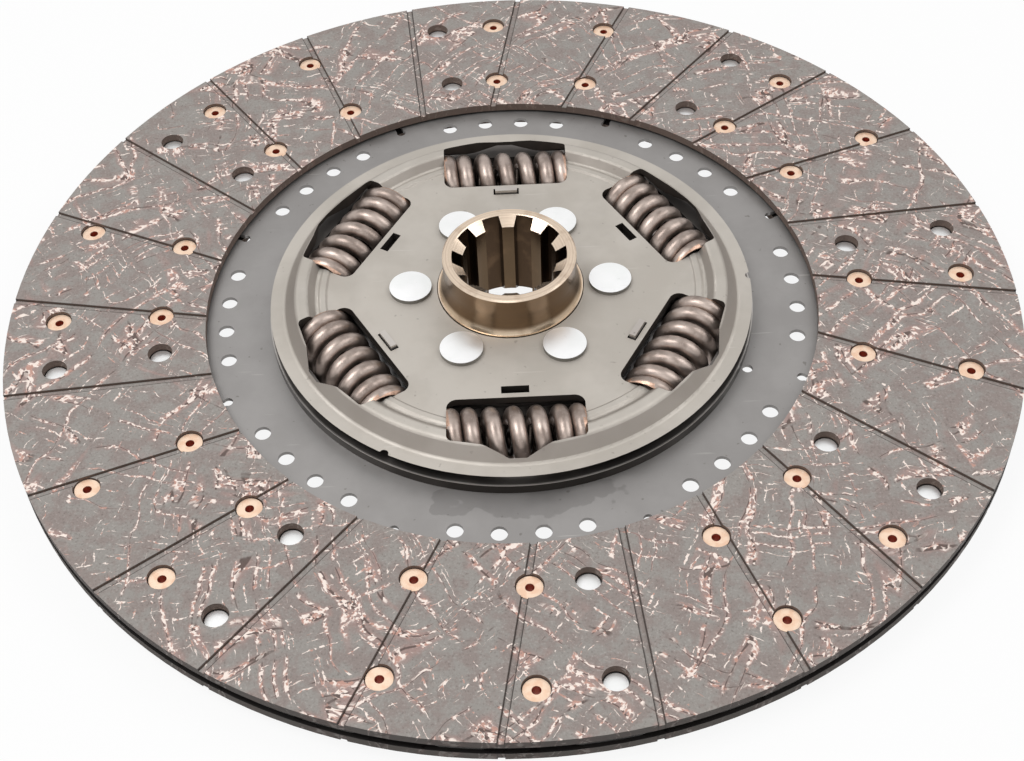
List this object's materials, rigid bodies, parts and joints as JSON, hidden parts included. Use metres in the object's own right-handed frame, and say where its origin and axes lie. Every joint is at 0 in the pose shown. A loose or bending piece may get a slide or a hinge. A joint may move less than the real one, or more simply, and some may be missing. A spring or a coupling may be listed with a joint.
{
  "type": "clutch disc",
  "caption": "Spring-damped clutch driven disc: two grooved annular friction facings on a cushion plate around a splined hub with coil torsion springs.",
  "frame": {"origin": "on the hub axis, midway between the two friction facings", "axes": "+Z along the hub axis, out of the longer hub end; +Y through the middle of the second spring window"},
  "size_m": [0.395, 0.395, 0.0399],
  "materials": {
    "front_facing": "matt moulded friction lining with metal threads",
    "rear_facing": "matt moulded friction lining with metal threads",
    "facing_rivet": "satin",
    "cushion_steel": "satin, lightly oiled",
    "plate_steel": "dark oiled steel",
    "cover_steel": "satin pressed steel",
    "plated_rivet": "bright plated",
    "hub_steel": "turned steel with a warm oil film",
    "outer_spring": "oiled spring steel",
    "inner_spring": "oiled spring steel",
    "pressure_steel": "satin",
    "friction_ring": "matt"
  },
  "bodies": {
    "hub_assembly": {"hub": "hub_steel", "front_cover": "cover_steel", "rear_cover": "cover_steel", "cover_rivets": "plated_rivet", "front_friction_ring": "friction_ring", "rear_friction_ring": "friction_ring", "thrust_ring": "plate_steel", "pressure_ring": "pressure_steel", "spring_washer": "pressure_steel", "outer_spring_1": "outer_spring", "outer_spring_2": "outer_spring", "outer_spring_3": "outer_spring", "outer_spring_4": "outer_spring", "outer_spring_5": "outer_spring", "outer_spring_6": "outer_spring", "inner_spring_1": "inner_spring", "inner_spring_2": "inner_spring", "inner_spring_3": "inner_spring", "inner_spring_4": "inner_spring", "inner_spring_5": "inner_spring", "inner_spring_6": "inner_spring"},
    "friction_disc": {"front_facing": "front_facing", "rear_facing": "rear_facing", "cushion_disc": "cushion_steel", "facing_rivets_outer": "facing_rivet", "facing_rivets_inner": "facing_rivet", "paddle_rivets_outer": "plated_rivet", "paddle_rivets_inner": "plated_rivet", "drive_plate": "plate_steel", "drive_plate_rivets": "plate_steel"}
  },
  "joints": [
    {"name": "damper_turn", "type": "hinge", "parent": "hub_assembly", "child": "friction_disc", "pos_m": [0, 0, 0], "axis": [0, 0, 1], "range_deg": [-7, 7], "stiffness_Nm_per_rad": 300, "deforming": ["outer_spring_1", "outer_spring_2", "outer_spring_3", "outer_spring_4", "outer_spring_5", "outer_spring_6", "inner_spring_1", "inner_spring_2", "inner_spring_3", "inner_spring_4", "inner_spring_5", "inner_spring_6"]}
  ]
}
